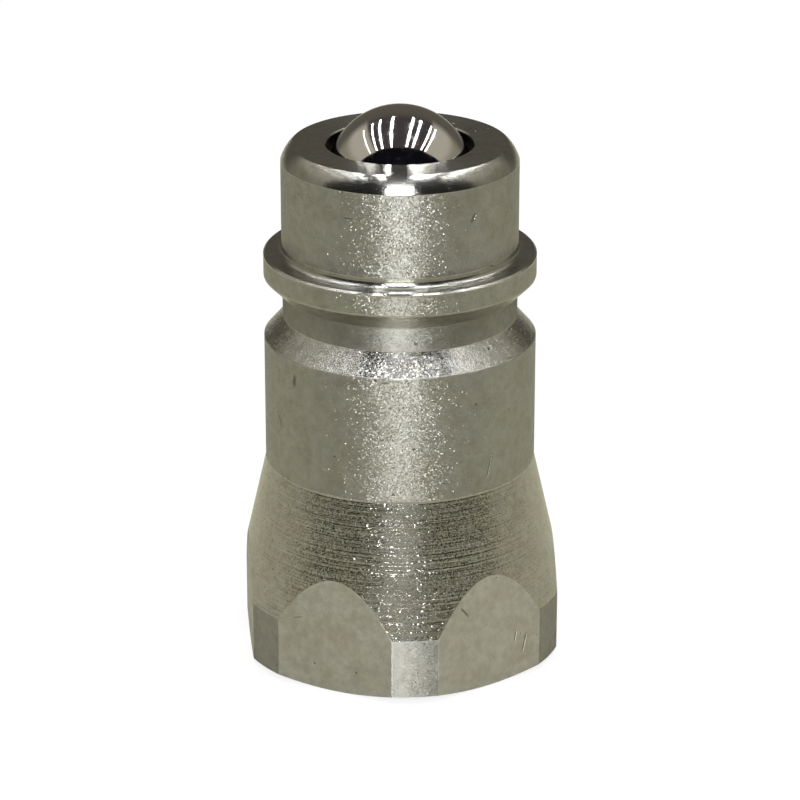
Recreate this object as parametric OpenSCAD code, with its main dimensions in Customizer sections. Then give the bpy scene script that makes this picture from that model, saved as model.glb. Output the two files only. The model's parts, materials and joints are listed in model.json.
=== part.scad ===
// Male tip of a hydraulic quick coupling with a ball valve, 1/2 in size.
// A one-piece turned hexagon body holds a steel ball on a conical seat in its
// nose. A slotted cage guides the ball, a spring closes it, and a snap ring
// holds the cage against a shoulder, all fitted through the pipe port.
// Millimetres. Z is the axis and z = 0 is the hexagon's end face.

/* [Hexagon base] */
// Width of the hexagon across its flats
hex_af = 27; // [26:0.1:28]
// Diameter that the hexagon's corners are turned to
hex_corner_d = 29.1; // [28.4:0.1:30.6]
// Height at which the corners' turned land ends
land_h = 5.77; // [4:0.01:9]
// Height of the chamfer on the corners' lower edge
corner_chamfer_h = 0.5; // [0.2:0.05:1]
// Radial width of the chamfer on the corners' lower edge
corner_chamfer_w = 1.1; // [0.5:0.05:1.2]
// Height of the cone from the land to the barrel
cone_h = 11.72; // [9:0.01:15]

/* [Barrel and neck] */
// Diameter of the plain barrel
barrel_d = 23.7; // [23:0.05:25]
// Length of the plain barrel
barrel_h = 11.38; // [8:0.01:15]
// Height of the shoulder cone between barrel and neck
shoulder_h = 1.84; // [1:0.01:3]
// Diameter of the neck that the locking balls run in
neck_d = 20.44; // [19.6:0.02:21.5]
// Length of the neck's plain part
neck_h = 2.09; // [1.5:0.01:4]

/* [Locking ring and nose] */
// Diameter of the locking ring
ring_d = 23.7; // [22.6:0.05:25]
// Length of the locking ring's plain part
ring_h = 2.05; // [1:0.01:4]
// Angle of the locking ring's lower flank from the axis
flank_angle = 45; // [35:1:60]
// Radius of the fillet between locking ring and nose
nose_fillet = 0.56; // [0.2:0.02:0.8]
// Diameter of the sealing nose
nose_d = 20.54; // [19.8:0.02:21.4]
// Length of the nose above the locking ring
nose_h = 9.62; // [7:0.01:14]
// Height of the nose's soft lead-in corner
corner_h = 1.45; // [0.8:0.05:2]
// Radial width of the nose's soft lead-in corner
corner_w = 0.95; // [0.5:0.05:1.4]
// How far the lead-in corner bulges past a plain chamfer, 0 to 1
corner_fullness = 0.3; // [0:0.05:1]
// Small chamfer on the other turned edges
edge_break = 0.15; // [0.05:0.01:0.25]

/* [Mouth and seat] */
// Diameter of the mouth in the nose's face
mouth_d = 12.65; // [12.4:0.05:14]
// Depth of the mouth down to the seat's lip
mouth_depth = 1; // [0.4:0.05:1.2]
// Diameter of the seat at its lip
lip_d = 12; // [11.4:0.02:12.2]
// Half-angle of the conical seat
seat_angle = 18; // [17:1:30]
// Diameter of the valve ball
ball_d = 12.7; // [12.4:0.05:13]
// Clearance left between ball and seat
seat_gap = 0.02; // [0.01:0.01:0.05]
// How far the ball moves in
ball_travel = 5; // [3:0.1:5.2]

/* [Port] */
// Diameter of the port at the root of its pipe thread
port_d = 20.9; // [20:0.05:21.2]
// Depth of the threaded length
thread_depth = 14.5; // [12:0.1:16]
// Size of the chamfer at the port's mouth
port_chamfer = 0.9; // [0.4:0.05:1.1]
// Diameter of the drilled bore beyond the thread
drill_d = 18.26; // [17.8:0.02:19]
// Depth of the drilled bore
drill_depth = 18; // [17.4:0.1:20]
// Diameter of the bore that the cage's flange fits
cage_bore_d = 17; // [16.8:0.05:17.5]
// Length of the cage bore, up to its shoulder
cage_bore_h = 9; // [6:0.1:10]

/* [Cage] */
// Flow gap between the ball and the chamber's wall
flow_gap = 1.4; // [1.2:0.05:1.6]
// Clearance between the ball and the cage's fingers
finger_gap = 0.2; // [0.1:0.02:0.3]
// Clearance between the cage and the bores around it
cage_gap = 0.1; // [0.05:0.01:0.15]
// Thickness of the cage's flange
flange_t = 1.6; // [1:0.1:2.4]
// Number of fingers and flow windows
finger_count = 4; // [3:1:5]
// Angle that each finger spans
finger_angle = 30; // [20:1:40]
// Width of the flow windows in the flange
window_w = 2.1; // [1.4:0.1:2.2]
// Distance from the chamber's wall in to the flow windows
window_inset = 0.55; // [0.4:0.05:0.8]
// Diameter of the hub that stops the ball
hub_d = 6.4; // [4:0.1:6.8]

/* [Spring] */
// Mean diameter of the spring
spring_d = 8.4; // [8:0.1:8.8]
// Diameter of the spring's wire
wire_d = 1.1; // [0.9:0.05:1.15]
// Number of coils, end coils included
coil_count = 5; // [4:0.25:5.25]

/* [Snap ring] */
// Thickness of the snap ring
snap_t = 1; // [0.8:0.05:1.2]
// Depth of the snap ring's groove
groove_depth = 0.4; // [0.3:0.05:0.6]
// Radial width of the snap ring
snap_w = 1.2; // [0.9:0.05:1.4]
// Angle of the gap between the snap ring's lugs
snap_gap_angle = 32; // [24:1:50]
// Diameter of the snap ring's lugs
lug_d = 3.2; // [2.8:0.1:3.6]
// Diameter of the pliers' holes in the lugs
lug_hole_d = 1.5; // [1:0.1:1.8]
// Side clearance of the snap ring in its groove
groove_gap = 0.05; // [0.02:0.01:0.1]

/* [Hidden] */
$fn = 96;

// Heights along the outside, from the end face up
cone_top = land_h + cone_h;
barrel_top = cone_top + barrel_h;
neck_bottom = barrel_top + shoulder_h;
neck_top = neck_bottom + neck_h;
ring_bottom = neck_top + (ring_d - neck_d) / 2 / tan(flank_angle);
ring_top = ring_bottom + ring_h;
face_z = ring_top + nose_h;

// The seat, and the ball resting against it
lip_r = lip_d / 2;
lip_z = face_z - mouth_depth;
ball_r = ball_d / 2;
ball_z = lip_z - (ball_r + seat_gap - lip_r * cos(seat_angle)) / sin(seat_angle);
chamber_r = ball_r + flow_gap;
seat_bottom = lip_z - (chamber_r - lip_r) / tan(seat_angle);

// The cage's shoulder, and the groove below its flange
cage_bore_r = cage_bore_d / 2;
shoulder_z = drill_depth + cage_bore_h;
flange_bottom = shoulder_z - flange_t;
snap_bottom = flange_bottom - snap_t;
groove_r = cage_bore_r + groove_depth;
runout_h = (port_d - drill_d) / 2;

// The cage's parts inside the chamber
finger_out_r = chamber_r - cage_gap;
finger_in_r = ball_r + finger_gap;
finger_top = seat_bottom - 0.8;
window_out_r = chamber_r - window_inset;
window_in_r = window_out_r - window_w;
stop_gap = 0.05;
hub_top = ball_z - ball_r - ball_travel - stop_gap;

// Height of a prism or cutter that passes everything it cuts
through_h = 2 * face_z;

// Points of an arc about [r, z] from angle a0 to a1
function arc(r, z, radius, a0, a1, steps = 8) =
    [for (i = [0:steps])
        let (a = a0 + (a1 - a0) * i / steps)
        [r + radius * cos(a), z + radius * sin(a)]];

// Points of a curve from start to end that is pulled towards corner
function pulled_curve(start, corner, end, steps = 10) =
    [for (i = [0:steps])
        let (t = i / steps)
        (1 - t) * (1 - t) * start + 2 * t * (1 - t) * corner + t * t * end];

// The nose's lead-in, from its side to its face
function lead_in() =
    let (
        side = [nose_d / 2, face_z - corner_h],
        face = [nose_d / 2 - corner_w, face_z],
        sharp = [nose_d / 2, face_z],
        middle = (side + face) / 2
    )
    pulled_curve(side, middle + corner_fullness * (sharp - middle), face);

function outer_profile() = concat(
    [
        [hex_corner_d / 2 - corner_chamfer_w, 0],
        [hex_corner_d / 2, corner_chamfer_h],
        [hex_corner_d / 2, land_h],
        [barrel_d / 2, cone_top],
        [barrel_d / 2, barrel_top],
        [neck_d / 2, neck_bottom],
        [neck_d / 2, neck_top],
        [ring_d / 2, ring_bottom],
        [ring_d / 2, ring_top - edge_break],
        [ring_d / 2 - edge_break, ring_top]
    ],
    arc(nose_d / 2 + nose_fillet, ring_top + nose_fillet, nose_fillet, 270, 180),
    lead_in()
);

function inner_profile() = [
    [mouth_d / 2 + edge_break, face_z],
    [mouth_d / 2, face_z - edge_break],
    [mouth_d / 2, lip_z],
    [lip_r, lip_z],
    [chamber_r, seat_bottom],
    [chamber_r, shoulder_z],
    [cage_bore_r, shoulder_z],
    [cage_bore_r, flange_bottom + groove_gap],
    [groove_r, flange_bottom + groove_gap],
    [groove_r, snap_bottom - groove_gap],
    [cage_bore_r, snap_bottom - groove_gap],
    [cage_bore_r, drill_depth],
    [drill_d / 2, drill_depth],
    [drill_d / 2, thread_depth + runout_h],
    [port_d / 2, thread_depth],
    [port_d / 2, port_chamfer],
    [port_d / 2 + port_chamfer, 0]
];

// A ring sector between two radii, centred on angle 0
module sector_ring(r_in, r_out, angle, z, h) {
    translate([0, 0, z])
        rotate([0, 0, -angle / 2])
            rotate_extrude(angle = angle)
                translate([r_in, 0]) square([r_out - r_in, h]);
}

// One turned piece, with the flats milled across the turned base
module body() {
    color([0.56, 0.55, 0.50])
        intersection() {
            rotate_extrude() polygon(concat(outer_profile(), inner_profile()));
            rotate([0, 0, 30])
                cylinder(d = hex_af / cos(30), h = through_h, center = true, $fn = 6);
        }
}

module valve_ball() {
    color([0.80, 0.80, 0.79])
        translate([0, 0, ball_z]) sphere(d = ball_d);
}

// Flange, hub and sleeve turned in one, then slotted into fingers
module ball_cage() {
    hub_chamfer = 0.4;
    slot_angle = 360 / finger_count - finger_angle;
    color([0.66, 0.65, 0.60])
        difference() {
            rotate_extrude() polygon([
                [0, flange_bottom],
                [cage_bore_r - cage_gap, flange_bottom],
                [cage_bore_r - cage_gap, shoulder_z],
                [finger_out_r, shoulder_z],
                [finger_out_r, finger_top - cage_gap],
                [finger_out_r - cage_gap, finger_top],
                [finger_in_r + cage_gap, finger_top],
                [finger_in_r, finger_top - cage_gap],
                [finger_in_r, shoulder_z],
                [hub_d / 2, shoulder_z],
                [hub_d / 2, hub_top - hub_chamfer],
                [hub_d / 2 - hub_chamfer, hub_top],
                [0, hub_top]
            ]);
            for (i = [0:finger_count - 1])
                rotate([0, 0, (i + 0.5) * 360 / finger_count]) {
                    sector_ring(window_in_r, window_out_r, slot_angle, 0, through_h);
                    sector_ring(finger_in_r - cage_gap, chamber_r, slot_angle, shoulder_z, through_h);
                }
        }
}

// Compression spring with closed ends, from the flange to the ball
module valve_spring() {
    wire_r = wire_d / 2;
    mean_r = spring_d / 2;
    seat_touch = 0.03;
    start_z = shoulder_z + wire_r + seat_touch;
    reach = ball_r + wire_r + seat_touch;
    end_z = ball_z - sqrt(reach * reach - mean_r * mean_r);
    closed_turns = 0.75;
    closed_h = closed_turns * wire_d * 1.04;
    steps_per_turn = 28;
    steps = round(coil_count * steps_per_turn);
    sides = 10;
    open_slope = (end_z - start_z - 2 * closed_h) / (coil_count - 2 * closed_turns);
    function coil_z(turn) =
        turn < closed_turns ? start_z + closed_h * turn / closed_turns :
        turn > coil_count - closed_turns ? end_z - closed_h * (coil_count - turn) / closed_turns :
        start_z + closed_h + open_slope * (turn - closed_turns);
    points = [for (i = [0:steps], j = [0:sides - 1])
        let (
            turn = i * coil_count / steps,
            around = 360 * turn,
            a = 360 * j / sides,
            r = mean_r + wire_r * cos(a)
        )
        [r * cos(around), r * sin(around), coil_z(turn) + wire_r * sin(a)]];
    walls = [for (i = [0:steps - 1], j = [0:sides - 1])
        let (k = (j + 1) % sides)
        [i * sides + j, i * sides + k, (i + 1) * sides + k, (i + 1) * sides + j]];
    first_end = [for (j = [0:sides - 1]) sides - 1 - j];
    last_end = [for (j = [0:sides - 1]) steps * sides + j];
    color([0.50, 0.50, 0.52])
        polyhedron(points, concat(walls, [first_end, last_end]));
}

// Internal snap ring, with two lugs drilled for pliers
module snap_ring() {
    out_r = groove_r - groove_gap;
    lug_r = out_r - snap_w - lug_d / 2 + 0.6;
    lug_angle = snap_gap_angle / 2 + asin(lug_d / 2 / lug_r);
    color([0.30, 0.30, 0.31])
        translate([0, 0, snap_bottom])
            linear_extrude(snap_t)
                difference() {
                    union() {
                        difference() {
                            circle(r = out_r);
                            circle(r = out_r - snap_w);
                            polygon([[0, 0],
                                2 * out_r * [cos(lug_angle), -sin(lug_angle)],
                                2 * out_r * [cos(lug_angle), sin(lug_angle)]]);
                        }
                        for (side = [-1, 1])
                            intersection() {
                                rotate(side * lug_angle) {
                                    translate([lug_r, 0]) circle(d = lug_d);
                                    translate([lug_r, -lug_d / 2]) square([out_r, lug_d]);
                                }
                                circle(r = out_r);
                            }
                    }
                    for (side = [-1, 1])
                        rotate(side * lug_angle)
                            translate([lug_r, 0]) circle(d = lug_hole_d);
                }
}

body();
valve_ball();
ball_cage();
valve_spring();
snap_ring();
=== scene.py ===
import json
import math

import bmesh
import bpy
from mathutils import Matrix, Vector


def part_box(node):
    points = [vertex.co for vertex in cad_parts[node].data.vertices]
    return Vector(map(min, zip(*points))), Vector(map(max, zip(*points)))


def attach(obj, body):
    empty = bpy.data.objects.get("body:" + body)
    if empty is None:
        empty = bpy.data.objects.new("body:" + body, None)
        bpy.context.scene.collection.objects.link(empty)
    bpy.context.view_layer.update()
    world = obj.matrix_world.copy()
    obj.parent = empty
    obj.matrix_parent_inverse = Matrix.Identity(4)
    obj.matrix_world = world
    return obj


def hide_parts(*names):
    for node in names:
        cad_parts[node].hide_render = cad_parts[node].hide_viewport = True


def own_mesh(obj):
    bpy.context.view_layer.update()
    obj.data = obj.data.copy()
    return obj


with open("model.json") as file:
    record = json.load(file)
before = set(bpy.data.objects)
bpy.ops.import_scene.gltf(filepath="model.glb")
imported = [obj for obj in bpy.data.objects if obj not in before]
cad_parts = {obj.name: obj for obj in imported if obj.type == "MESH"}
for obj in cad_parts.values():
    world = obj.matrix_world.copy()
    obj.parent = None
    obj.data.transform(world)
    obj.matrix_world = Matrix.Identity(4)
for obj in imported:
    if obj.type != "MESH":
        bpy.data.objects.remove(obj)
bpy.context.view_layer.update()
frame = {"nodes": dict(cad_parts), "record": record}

MM = 0.001


# ---------------------------------------------------------------- sizes, in millimetres

_, body_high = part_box("body")
MOUNTS = {mount["name"]: mount for mount in frame["record"]["mounts"]}

FLAT_R = body_high[0] / MM              # from the axis to a flat of the hexagon
FACE_Z = body_high[2] / MM              # the nose's face
PORT_R = MOUNTS["port"]["dims"]["r_mm"]
MOUTH_R = 6.325                         # the recess in the face that the ball stands in

# heights on the body, from the foot up
CONE_FOOT_Z = 5.77                      # where the corners' land ends and the cone starts
FLAT_TOP_Z = 11.0                       # above the arches in which the flats end
CONE_TOP_Z = 17.49
BARREL_TOP_Z = 28.87
NECK_Z = 30.71                          # where the shoulder ends and the neck starts
FLANK_Z = 32.80                         # where the locking ring's sloped flank starts
RING_Z = 34.43                          # where the locking ring's plain part starts
RING_TOP_Z = 36.48

SPRING_R = 4.2                          # from the axis to the middle of the wire
WIRE_R = 0.55
COILS = 5
CLOSED_COILS = 0.75                     # at each end
CLOSED_PITCH = 1.04                     # in wire diameters
SPRING_STEPS = 48                       # rings in one turn
WIRE_SIDES = 16

THREAD_FOOT_Z = 1.5
THREAD_TOP_Z = 14.2
THREAD_RUNOUT = 0.95
THREAD_PITCH = 1.814
THREAD_DEPTH = 1.16
THREAD_STEPS = 72                       # rings in one turn
THREAD_FADE_IN = 0.25                   # turns over which the ridge grows at its start
THREAD_FADE_OUT = 0.4
THREAD_PROFILE = (
    # out from the port's wall, up from the ridge's middle
    (0.06, -0.83), (-0.87, -0.36), (-1.05, -0.25), (-THREAD_DEPTH, -0.11),
    (-THREAD_DEPTH, 0.11), (-1.05, 0.25), (-0.87, 0.36), (0.06, 0.83),
)


# ---------------------------------------------------------------- camera and light, in metres

CAMERA_AZIMUTH = math.radians(-95.26)   # the front corner of the hexagon is a little to the right
CAMERA_ELEVATION = math.radians(21.26)
CAMERA_DISTANCE = 0.3098
CAMERA_LENS = 158.4                     # this and the sensor in millimetres
CAMERA_SENSOR = 36
AIM = Vector((0, 0, 0.02244))

LAMP_COLOUR = (0.98, 0.99, 1.0)
STRIP_HEIGHT = 0.5
STRIP_BACK = 0.075
STRIP_LENGTH = 0.55
STRIP_WIDTH = 0.019
STRIP_TURN = math.radians(-4.7)         # from the camera's azimuth
STRIPS = (
    # place across the tent, power
    (-0.44, 0.14), (-0.30, 0.33), (-0.205, 0.40), (-0.08, 0.80),
    (0.103, 0.80), (0.18, 0.40), (0.31, 0.40), (0.383, 0.33),
)
FRONT_LIGHT_ELEVATION = math.radians(32)
FRONT_LIGHT_DISTANCE = 0.45
FRONT_LIGHT_POWER = 1.5
FRONT_LIGHT_WIDTH = 0.17
FRONT_LIGHT_LENGTH = 0.07

FRONT = Vector((math.cos(CAMERA_AZIMUTH), math.sin(CAMERA_AZIMUTH), 0))
RIGHT = Vector((-FRONT.y, FRONT.x, 0))


def towards_camera(elevation):
    """The direction that rises by elevation on the camera's side."""
    return FRONT * math.cos(elevation) + Vector((0, 0, math.sin(elevation)))


def add_camera():
    towards = towards_camera(CAMERA_ELEVATION)
    data = bpy.data.cameras.new("camera")
    data.lens = CAMERA_LENS
    data.sensor_width = CAMERA_SENSOR
    data.clip_start = 0.01
    data.clip_end = 50
    camera = bpy.data.objects.new("camera", data)
    camera.location = AIM + towards * CAMERA_DISTANCE
    camera.rotation_euler = (-towards).to_track_quat("-Z", "Y").to_euler()
    bpy.context.collection.objects.link(camera)
    bpy.context.scene.camera = camera


def add_area_light(name, place, width, length, power):
    """A soft rectangular light that faces down until it is turned, and that the camera doesn't see."""
    data = bpy.data.lights.new(name, "AREA")
    data.shape = "RECTANGLE"
    data.size = width
    data.size_y = length
    data.energy = power
    data.color = LAMP_COLOUR
    light = bpy.data.objects.new(name, data)
    light.location = place
    light.visible_camera = False
    bpy.context.collection.objects.link(light)
    return light


def add_lights():
    """Narrow strips side by side under the tent's roof, and a soft light above the camera."""
    for i, (across, power) in enumerate(STRIPS):
        place = RIGHT * across - FRONT * STRIP_BACK + Vector((0, 0, STRIP_HEIGHT))
        strip = add_area_light(f"strip_{i}", place, STRIP_WIDTH, STRIP_LENGTH, power)
        strip.rotation_euler = (0, 0, CAMERA_AZIMUTH + math.pi / 2 + STRIP_TURN)
    place = AIM + towards_camera(FRONT_LIGHT_ELEVATION) * FRONT_LIGHT_DISTANCE
    front = add_area_light("front", place, FRONT_LIGHT_WIDTH, FRONT_LIGHT_LENGTH, FRONT_LIGHT_POWER)
    front.rotation_euler = (AIM - place).to_track_quat("-Z", "Y").to_euler()


# ---------------------------------------------------------------- node helpers

class Nodes:
    """Builds a node tree by short calls that return output sockets."""

    def __init__(self, tree):
        self.tree = tree

    def put(self, kind, settings=None, **inputs):
        node = self.tree.nodes.new(kind)
        for name, value in (settings or {}).items():
            setattr(node, name, value)
        for name, value in inputs.items():
            self.feed(node.inputs[name.replace("_", " ")], value)
        return node

    def feed(self, socket, value):
        if isinstance(value, bpy.types.NodeSocket):
            self.tree.links.new(value, socket)
        else:
            socket.default_value = value

    def math(self, operation, *values, clamp=False):
        node = self.put("ShaderNodeMath", {"operation": operation, "use_clamp": clamp})
        for socket, value in zip(node.inputs, values):
            self.feed(socket, value)
        return node.outputs[0]

    def combine(self, x, y, z):
        return self.put("ShaderNodeCombineXYZ", X=x, Y=y, Z=z).outputs[0]

    def separate(self, vector):
        return self.put("ShaderNodeSeparateXYZ", Vector=vector).outputs[:3]

    def dot(self, vector, constant):
        node = self.put("ShaderNodeVectorMath", {"operation": "DOT_PRODUCT"})
        self.feed(node.inputs[0], vector)
        self.feed(node.inputs[1], constant)
        return node.outputs["Value"]

    def step(self, value, low, high, start=0.0, end=1.0):
        """A smooth step from start to end as value goes from low to high."""
        node = self.put("ShaderNodeMapRange", {"interpolation_type": "SMOOTHSTEP"})
        for name, number in (("Value", value), ("From Min", low), ("From Max", high),
                             ("To Min", start), ("To Max", end)):
            self.feed(node.inputs[name], number)
        return node.outputs["Result"]

    def mix(self, factor, first, second):
        node = self.put("ShaderNodeMix", {"data_type": "RGBA"})
        self.feed(node.inputs[0], factor)
        self.feed(node.inputs[6], first)
        self.feed(node.inputs[7], second)
        return node.outputs[2]

    def by_level(self, value, levels):
        """The number of the first level that value is below, from rows of a level and its number."""
        top = levels[-1][0]
        node = self.put("ShaderNodeValToRGB")
        ramp = node.color_ramp
        ramp.interpolation = "CONSTANT"
        ramp.elements.remove(ramp.elements[1])
        start = 0.0
        for i, (level, number) in enumerate(levels):
            stop = ramp.elements[0] if i == 0 else ramp.elements.new(start)
            stop.color = (number, number, number, 1)
            start = level / top
        self.feed(node.inputs[0], self.math("DIVIDE", value, top))
        return node.outputs[0]

    def vector(self, operation, *values):
        node = self.put("ShaderNodeVectorMath", {"operation": operation})
        for socket, value in zip(node.inputs, values):
            self.feed(socket, value)
        return node.outputs[0]

    def scale(self, colour, factor):
        node = self.put("ShaderNodeVectorMath", {"operation": "SCALE"}, Vector=colour)
        self.feed(node.inputs["Scale"], factor)
        return node.outputs[0]

    def tint(self, colour, new, old):
        """The colour, shifted as the colour new differs from the colour old."""
        ratio = tuple(a / b for a, b in zip(new[:3], old[:3]))
        return self.vector("MULTIPLY", colour, ratio)

    def noise(self, vector, scale, detail=2.0, roughness=0.5):
        node = self.put("ShaderNodeTexNoise", Vector=vector, Scale=scale,
                        Detail=detail, Roughness=roughness)
        return node.outputs["Fac"]

    def bump(self, height, strength, distance, normal=None):
        node = self.put("ShaderNodeBump", Height=height, Strength=strength, Distance=distance)
        if normal is not None:
            self.feed(node.inputs["Normal"], normal)
        return node.outputs["Normal"]

    def end(self, shader, out):
        self.tree.links.new(shader.outputs[0], out.inputs["Surface"])


def new_material(name):
    """An empty material, its node builder and its output node."""
    material = bpy.data.materials.new(name)
    material.use_nodes = True
    material.node_tree.nodes.clear()
    nodes = Nodes(material.node_tree)
    return material, nodes, nodes.put("ShaderNodeOutputMaterial")


# ---------------------------------------------------------------- surroundings

WHITE = (1, 1, 1, 1)
FLOOR_WHITE = (0.95, 0.95, 0.95, 1)
FLOOR_GREY = (0.42, 0.405, 0.285, 1)
FLOOR_GLOW = 0.85                       # how much of the floor is plain white to the camera
GLOSSY_SHARE = 0.10                     # how much of the floor is plain white to metal
FLOOR_DROP = 0.00005                    # below the part's foot
FLOOR_HALF_WIDTH = 3.0
TENT_LOW = (0.32, 0.31, 0.24, 1)
TENT_SIDE = (0.56, 0.54, 0.46, 1)
TENT_ROOF = (0.075, 0.065, 0.07, 1)
TENT_BACK = (0.13, 0.12, 0.10, 1)
TENT_FRONT = (0.006, 0.006, 0.009, 1)

# where the tent's colours change: up, across and front are parts of a direction of length 1
SIDE_START = (0.28, 0.50)               # up, from TENT_LOW to TENT_SIDE
ROOF_START = (0.85, 0.70)               # across over up, from TENT_SIDE to TENT_ROOF
BACK_START = (-0.50, -0.80)             # front, from the colours above to TENT_BACK
OPENING_SLOPE = 0.47                    # the opening starts where front is this many times up
OPENING_EDGE = (-0.02, 0.03)
OPENING_START = (0.12, 0.30)            # front, below which there is no opening


def seen_rays(n):
    """1 for rays from the camera or through glass, and 1 for rays off metal."""
    path = n.put("ShaderNodeLightPath").outputs
    seen = n.math("ADD", path["Is Camera Ray"], path["Is Transmission Ray"], clamp=True)
    return seen, path["Is Glossy Ray"]


def add_world():
    """A light tent: pale sides, a dim roof and back, and a black opening at the camera's side."""
    world = bpy.data.worlds.new("world")
    bpy.context.scene.world = world
    world.use_nodes = True
    world.node_tree.nodes.clear()
    n = Nodes(world.node_tree)
    direction = n.put("ShaderNodeTexCoord").outputs["Generated"]
    front = n.dot(direction, FRONT)
    across = n.math("ABSOLUTE", n.dot(direction, RIGHT))
    up = n.dot(direction, (0, 0, 1))
    height = n.math("MAXIMUM", up, 0.001)
    tent = n.mix(n.step(up, *SIDE_START), TENT_LOW, TENT_SIDE)
    tent = n.mix(n.step(n.math("DIVIDE", across, height), *ROOF_START), tent, TENT_ROOF)
    tent = n.mix(n.step(front, *BACK_START), tent, TENT_BACK)
    roof_end = n.math("MULTIPLY", height, OPENING_SLOPE)
    beyond_roof = n.step(n.math("SUBTRACT", front, roof_end), *OPENING_EDGE)
    opening = n.math("MULTIPLY", beyond_roof, n.step(front, *OPENING_START))
    tent = n.mix(opening, tent, TENT_FRONT)
    seen, _ = seen_rays(n)
    background = n.put("ShaderNodeBackground", Color=n.mix(seen, tent, WHITE), Strength=1.0)
    n.end(background, n.put("ShaderNodeOutputWorld"))


def floor_material():
    """White as the camera sees it, with a faint shadow, and a warm grey table in reflections."""
    material, n, out = new_material("floor")
    seen, glossy = seen_rays(n)
    lit = n.put("ShaderNodeBsdfDiffuse", Color=n.mix(seen, FLOOR_GREY, FLOOR_WHITE))
    glow = n.put("ShaderNodeEmission", Color=WHITE, Strength=1.0)
    share = n.math("ADD", n.math("MULTIPLY", seen, FLOOR_GLOW),
                   n.math("MULTIPLY", glossy, GLOSSY_SHARE), clamp=True)
    blend = n.put("ShaderNodeMixShader", Fac=share)
    n.tree.links.new(lit.outputs[0], blend.inputs[1])
    n.tree.links.new(glow.outputs[0], blend.inputs[2])
    n.end(blend, out)
    return material


def add_floor():
    mesh = bpy.data.meshes.new("floor")
    corners = [(x * FLOOR_HALF_WIDTH, y * FLOOR_HALF_WIDTH, 0)
               for x, y in ((-1, -1), (1, -1), (1, 1), (-1, 1))]
    mesh.from_pydata(corners, [], [(0, 1, 2, 3)])
    floor = bpy.data.objects.new("floor", mesh)
    floor.location.z = -FLOOR_DROP
    mesh.materials.append(floor_material())
    bpy.context.collection.objects.link(floor)


# ---------------------------------------------------------------- materials

def object_mm(n):
    """The point on the surface in millimetres, its three parts and its distance from the axis."""
    point = n.scale(n.put("ShaderNodeTexCoord").outputs["Object"], 1 / MM)
    x, y, z = n.separate(point)
    r = n.math("SQRT", n.math("ADD", n.math("MULTIPLY", x, x), n.math("MULTIPLY", y, y)))
    return point, x, y, z, r


def lathe_vector(n, x, y, z, r, along, around):
    """A point for noise that is drawn out round the axis, as turning marks are."""
    profile = n.math("ADD", n.math("MULTIPLY", z, along), n.math("MULTIPLY", r, 0.71 * along))
    safe = n.math("MAXIMUM", r, 0.01)
    return n.combine(n.math("MULTIPLY", n.math("DIVIDE", x, safe), around),
                     n.math("MULTIPLY", n.math("DIVIDE", y, safe), around), profile)


def between(n, z, low, high, soft=0.05):
    """1 between two heights, 0 elsewhere."""
    above = n.step(z, low - soft, low + soft)
    below = n.step(z, high - soft, high + soft, 1.0, 0.0)
    return n.math("MULTIPLY", above, below)


def hexagon_distance(n, point):
    """How far out the point is, square to the nearest flat of the hexagon."""
    distance = 0.0
    for turn in (0, 60, 120):
        a = math.radians(turn)
        reach = n.math("ABSOLUTE", n.dot(point, (math.cos(a), math.sin(a), 0)))
        distance = n.math("MAXIMUM", distance, reach)
    return distance


def facet_normal(n, point, size, reach):
    """The surface's normal, tilted by chance on each small grain, so that some grains glint."""
    cells = n.put("ShaderNodeTexVoronoi", Vector=point, Scale=1 / size)
    tilt = n.vector("SUBTRACT", cells.outputs["Color"], (0.5, 0.5, 0.5))
    length = n.put("ShaderNodeVectorMath", {"operation": "LENGTH"})
    n.feed(length.inputs[0], tilt)
    swing = n.math("MULTIPLY", n.math("POWER", length.outputs["Value"], 2.0), reach)
    normal = n.put("ShaderNodeNewGeometry").outputs["Normal"]
    return n.vector("NORMALIZE", n.vector("ADD", normal, n.scale(tilt, swing)))


STEEL = (0.44, 0.435, 0.405, 1)
MATTE = (0.71, 0.70, 0.655, 1)          # the milled flats, and mixed into the neck as painted reflection
STAIN = (0.38, 0.36, 0.31, 1)
DARK_SPECKS_AND_PAINTED_SHADE = (0.045, 0.042, 0.036, 1)        # dark colour of pits, dents and dust; painted shade in the recess round the ball
BALL_STEEL = (0.62, 0.60, 0.57, 1)
FLAT_ROUGHNESS = (0.5, 0.5, 0.5, 1)
GRAIN_SIZE = 0.095                      # millimetres across one glinting grain
BODY_RELIEF = 0.00005                   # metres that marks and pits go in and out
INNER_RELIEF = 0.00003
TURNED_DEPTH = 9.4                      # handling marks lie outside this radius, in millimetres
HEXAGON_DEPTH = 12.0                    # and below the cone's top outside this one
FINISH = (
    # up to z, roughness, turning marks, glints
    (CONE_FOOT_Z, 0.55, 0.05, 0.50),
    (CONE_TOP_Z, 0.16, 0.75, 0.60),
    (BARREL_TOP_Z, 0.43, 0.15, 1.30),
    (NECK_Z, 0.22, 0.10, 0.60),
    (FLANK_Z, 0.64, 0.15, 0.60),
    (RING_Z, 0.25, 0.10, 0.20),
    (RING_TOP_Z - 0.3, 0.40, 0.10, 1.20),
    (RING_TOP_Z + 0.7, 0.20, 0.05, 0.15),
    (FACE_Z - 1.6, 0.43, 0.10, 1.30),
    (FACE_Z - 0.02, 0.17, 0.05, 0.15),
    (FACE_Z + 0.5, 0.50, 0.05, 0.05),
)
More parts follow.
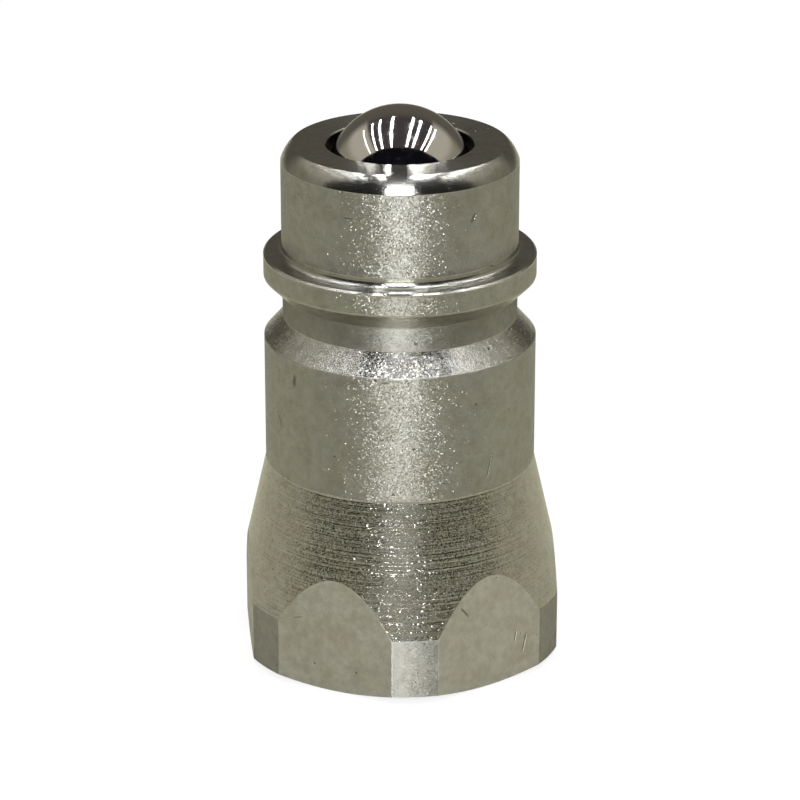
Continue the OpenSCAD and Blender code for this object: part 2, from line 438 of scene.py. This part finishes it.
MARKS = (
    # azimuth, sideways mm, height mm, half length, half width, lean in degrees
    (-58.4, 0.0, 42.0, 0.50, 0.22, 60),
    (-120.4, 0.0, 42.3, 0.55, 0.09, 0),
    (-144.9, 0.0, 27.2, 0.65, 0.28, 80),
    (-55.2, 0.0, 19.7, 1.10, 0.10, 75),
    (-155.9, 0.0, 22.8, 0.70, 0.10, -60),
    (-62.0, 0.0, 25.9, 0.16, 0.14, 0),
    (-60.0, 2.8, 4.0, 0.65, 0.12, 80),
    (-60.0, 3.8, 3.1, 1.10, 0.13, 76),
    (-60.0, -2.7, 7.7, 0.75, 0.13, -50),
    (-120.0, -3.6, 6.4, 0.60, 0.08, 15),
    (60.0, 1.5, 5.0, 0.90, 0.10, 35),
    (0.0, -2.0, 6.5, 0.80, 0.09, -30),
    (120.0, 0.5, 3.0, 1.20, 0.11, 10),
    (95.0, 0.0, 24.0, 1.30, 0.12, 70),
    (30.0, 0.0, 40.5, 0.70, 0.15, 40),
)


def handling_marks(n, point, z):
    """1 in the dents and scratches of MARKS, 0 elsewhere."""
    total = 0.0
    for azimuth, sideways, level, half_length, half_width, lean in MARKS:
        a, tilt = math.radians(azimuth), math.radians(lean)
        u = n.math("SUBTRACT", n.dot(point, (-math.sin(a), math.cos(a), 0)), sideways)
        w = n.math("SUBTRACT", z, level)
        along = n.math("ADD", n.math("MULTIPLY", u, math.cos(tilt)),
                       n.math("MULTIPLY", w, math.sin(tilt)))
        over = n.math("SUBTRACT", n.math("MULTIPLY", w, math.cos(tilt)),
                      n.math("MULTIPLY", u, math.sin(tilt)))
        near = n.math("MULTIPLY",
                      n.step(n.math("ABSOLUTE", along), 0.5 * half_length, half_length, 1.0, 0.0),
                      n.step(n.math("ABSOLUTE", over), 0.2 * half_width, half_width, 1.0, 0.0))
        depth = HEXAGON_DEPTH if level < CONE_TOP_Z else TURNED_DEPTH
        side = n.step(n.dot(point, (math.cos(a), math.sin(a), 0)), depth, depth + 0.3)
        total = n.math("MAXIMUM", total, n.math("MULTIPLY", near, side))
    return total


def pits(n, point, spacing, radius, share):
    """1 in small round pits that lie at random, 0 elsewhere."""
    cells = n.put("ShaderNodeTexVoronoi", Vector=point, Scale=1 / spacing)
    chance, _, _ = n.separate(cells.outputs["Color"])
    here = n.step(chance, share, share + 0.02, 1.0, 0.0)
    close = n.step(cells.outputs["Distance"], 0.5 * radius / spacing, radius / spacing, 1.0, 0.0)
    return n.math("MULTIPLY", here, close)


def body_material():
    """Plated steel, turned on the lathe above the hexagon and milled on its flats."""
    material, n, out = new_material("plated_steel")
    point, x, y, z, r = object_mm(n)
    roughness, marks, glints = (
        n.by_level(z, [(row[0], row[i]) for row in FINISH]) for i in range(1, 4))
    flat = n.math("MULTIPLY", n.step(hexagon_distance(n, point), FLAT_R - 0.03, FLAT_R - 0.01),
                  n.step(z, FLAT_TOP_Z - 0.1, FLAT_TOP_Z + 0.1, 1.0, 0.0))
    painted_neck_light = between(n, z, NECK_Z, FLANK_Z)
    colour = n.mix(flat, STEEL, MATTE)
    # painted reflection: the neck band is made lighter, 30 % towards MATTE, to stand for the light it
    # picks up off the shoulder
    colour = n.mix(n.math("MULTIPLY", painted_neck_light, 0.3), colour, MATTE)
    blotch = n.step(n.noise(point, 0.45, detail=3, roughness=0.6), 0.42, 0.68)
    colour = n.mix(n.math("MULTIPLY", blotch, 0.55), colour, n.tint(colour, STAIN, STEEL))
    cloud = n.step(n.noise(point, 1.3, detail=4, roughness=0.65), 0.3, 0.7, 0.90, 1.08)
    colour = n.scale(colour, cloud)

    dents = handling_marks(n, point, z)
    specks = n.math("MAXIMUM", pits(n, point, spacing=1.7, radius=0.15, share=0.30),
                    pits(n, point, spacing=0.8, radius=0.08, share=0.12))
    worn = n.math("MAXIMUM", n.math("MULTIPLY", dents, 0.55), n.math("MULTIPLY", specks, 0.65))
    colour = n.mix(worn, colour, DARK_SPECKS_AND_PAINTED_SHADE)
    # painted shade: inside the mouth's radius, above the ring, the recess round the ball is coloured
    # nearly black to stand for the shadow in it
    painted_mouth_shade = n.math("MULTIPLY", n.step(r, MOUTH_R + 0.02, MOUTH_R + 0.06, 1.0, 0.0),
                   n.step(z, RING_TOP_Z, RING_TOP_Z + 0.5))
    colour = n.mix(painted_mouth_shade, colour, DARK_SPECKS_AND_PAINTED_SHADE)
    roughness = n.mix(flat, roughness, FLAT_ROUGHNESS)
    marks = n.math("MULTIPLY", marks, n.math("SUBTRACT", 1.0, flat))

    lathe = lathe_vector(n, x, y, z, r, along=4.0, around=0.25)
    height = n.math("MULTIPLY", n.noise(lathe, 1.0, detail=4, roughness=0.7), marks)
    height = n.math("SUBTRACT", height, n.math("MULTIPLY", n.math("MAXIMUM", dents, specks), 1.2))
    normal = n.bump(height, 1.0, BODY_RELIEF, facet_normal(n, point, GRAIN_SIZE, glints))
    tangent = n.put("ShaderNodeTangent", {"direction_type": "RADIAL", "axis": "Z"}).outputs[0]
    shader = n.put("ShaderNodeBsdfPrincipled", Metallic=1.0, Anisotropic=0.9,
                   Anisotropic_Rotation=0.25, Tangent=tangent, Base_Color=colour,
                   Roughness=roughness, Normal=normal)
    n.end(shader, out)
    return material


def ball_material():
    """Polished bearing steel, with a trace of dust."""
    material, n, out = new_material("bearing_steel")
    point, _, _, _, _ = object_mm(n)
    dust = pits(n, point, spacing=0.9, radius=0.09, share=0.1)
    roughness = n.step(n.noise(point, 1.5, detail=4), 0.4, 0.75, 0.03, 0.10)
    shader = n.put("ShaderNodeBsdfPrincipled", Metallic=1.0,
                   Base_Color=n.mix(dust, BALL_STEEL, DARK_SPECKS_AND_PAINTED_SHADE), Roughness=roughness)
    n.end(shader, out)
    return material


def inner_material(name, colour, roughness, ridges):
    """Plain turned or drawn steel for the parts inside; ridges is how strong its marks are."""
    material, n, out = new_material(name)
    point, x, y, z, r = object_mm(n)
    cloud = n.step(n.noise(point, 1.1, detail=3), 0.3, 0.7, 0.85, 1.1)
    sheen = n.step(n.noise(point, 4.0, detail=2), 0.3, 0.7, roughness, roughness + 0.1)
    height = n.noise(lathe_vector(n, x, y, z, r, along=4.0, around=0.3), 1.0, detail=3)
    shader = n.put("ShaderNodeBsdfPrincipled", Metallic=1.0, Base_Color=n.scale(colour, cloud),
                   Roughness=sheen, Normal=n.bump(height, ridges, INNER_RELIEF))
    n.end(shader, out)
    return material


# ---------------------------------------------------------------- pieces


def sweep_mesh(name, rings, material):
    """A closed tube through rings of points, given in millimetres."""
    count = len(rings[0])
    verts = [tuple(v * MM for v in p) for ring in rings for p in ring]
    faces = [tuple(range(count))[::-1]]
    for i in range(len(rings) - 1):
        for j in range(count):
            k = (j + 1) % count
            faces.append((i * count + j, i * count + k, (i + 1) * count + k, (i + 1) * count + j))
    faces.append(tuple((len(rings) - 1) * count + j for j in range(count)))
    mesh = bpy.data.meshes.new(name)
    mesh.from_pydata(verts, [], faces)
    fix = bmesh.new()
    fix.from_mesh(mesh)
    bmesh.ops.recalc_face_normals(fix, faces=fix.faces)
    fix.to_mesh(mesh)
    fix.free()
    mesh.materials.append(material)
    piece = bpy.data.objects.new(name, mesh)
    bpy.context.collection.objects.link(piece)
    return piece


def coil_height(turn, start, end):
    """How high the spring's wire is after so many turns; its end coils lie close together."""
    closed_h = CLOSED_COILS * 2 * WIRE_R * CLOSED_PITCH
    if turn < CLOSED_COILS:
        return start + closed_h * turn / CLOSED_COILS
    if turn > COILS - CLOSED_COILS:
        return end - closed_h * (COILS - turn) / CLOSED_COILS
    open_h = end - start - 2 * closed_h
    return start + closed_h + open_h * (turn - CLOSED_COILS) / (COILS - 2 * CLOSED_COILS)


def add_spring(material):
    """The valve spring, which stands for its CAD node."""
    low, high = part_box("valve_spring")
    rings = []
    for i in range(COILS * SPRING_STEPS + 1):
        turn = i / SPRING_STEPS
        z = coil_height(turn, low[2] / MM + WIRE_R, high[2] / MM - WIRE_R)
        around = 2 * math.pi * turn
        ring = []
        for j in range(WIRE_SIDES):
            a = 2 * math.pi * j / WIRE_SIDES
            r = SPRING_R + WIRE_R * math.cos(a)
            ring.append((r * math.cos(around), r * math.sin(around), z + WIRE_R * math.sin(a)))
        rings.append(ring)
    spring = sweep_mesh("valve_spring_wire", rings, material)
    for polygon in spring.data.polygons:
        polygon.use_smooth = len(polygon.vertices) == 4
    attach(spring, "housing")
    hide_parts("valve_spring")
    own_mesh(spring)


def add_thread(material):
    """The pipe thread's ridge, one helix that stands in from the port's bore."""
    turns = (THREAD_TOP_Z - THREAD_RUNOUT - THREAD_FOOT_Z) / THREAD_PITCH
    steps = round(turns * THREAD_STEPS)
    rings = []
    for i in range(steps + 1):
        turn = turns * i / steps
        angle = 2 * math.pi * turn
        fade = min(1, turn / THREAD_FADE_IN, (turns - turn) / THREAD_FADE_OUT)
        ring = []
        for reach, rise in THREAD_PROFILE:
            r = PORT_R + (reach * fade if reach < 0 else reach)
            ring.append((r * math.cos(angle), r * math.sin(angle),
                         THREAD_FOOT_Z + THREAD_PITCH * turn + rise))
        rings.append(ring)
    thread = sweep_mesh("port_thread", rings, material)
    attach(thread, "housing")


def dress(node, material):
    """Gives a CAD node its material."""
    slots = frame["nodes"][node].data.materials
    slots.clear()
    slots.append(material)


steel = body_material()
dress("body", steel)
dress("valve_ball", ball_material())
dress("ball_cage", inner_material("cage_steel", (0.50, 0.49, 0.45), 0.32, 0.5))
add_spring(inner_material("spring_wire", (0.45, 0.45, 0.46), 0.25, 0.2))
dress("snap_ring", inner_material("phosphated_steel", (0.13, 0.13, 0.135), 0.42, 0.3))
add_thread(steel)

add_camera()
add_lights()
add_world()
add_floor()

bpy.context.scene.view_settings.view_transform = "Standard"
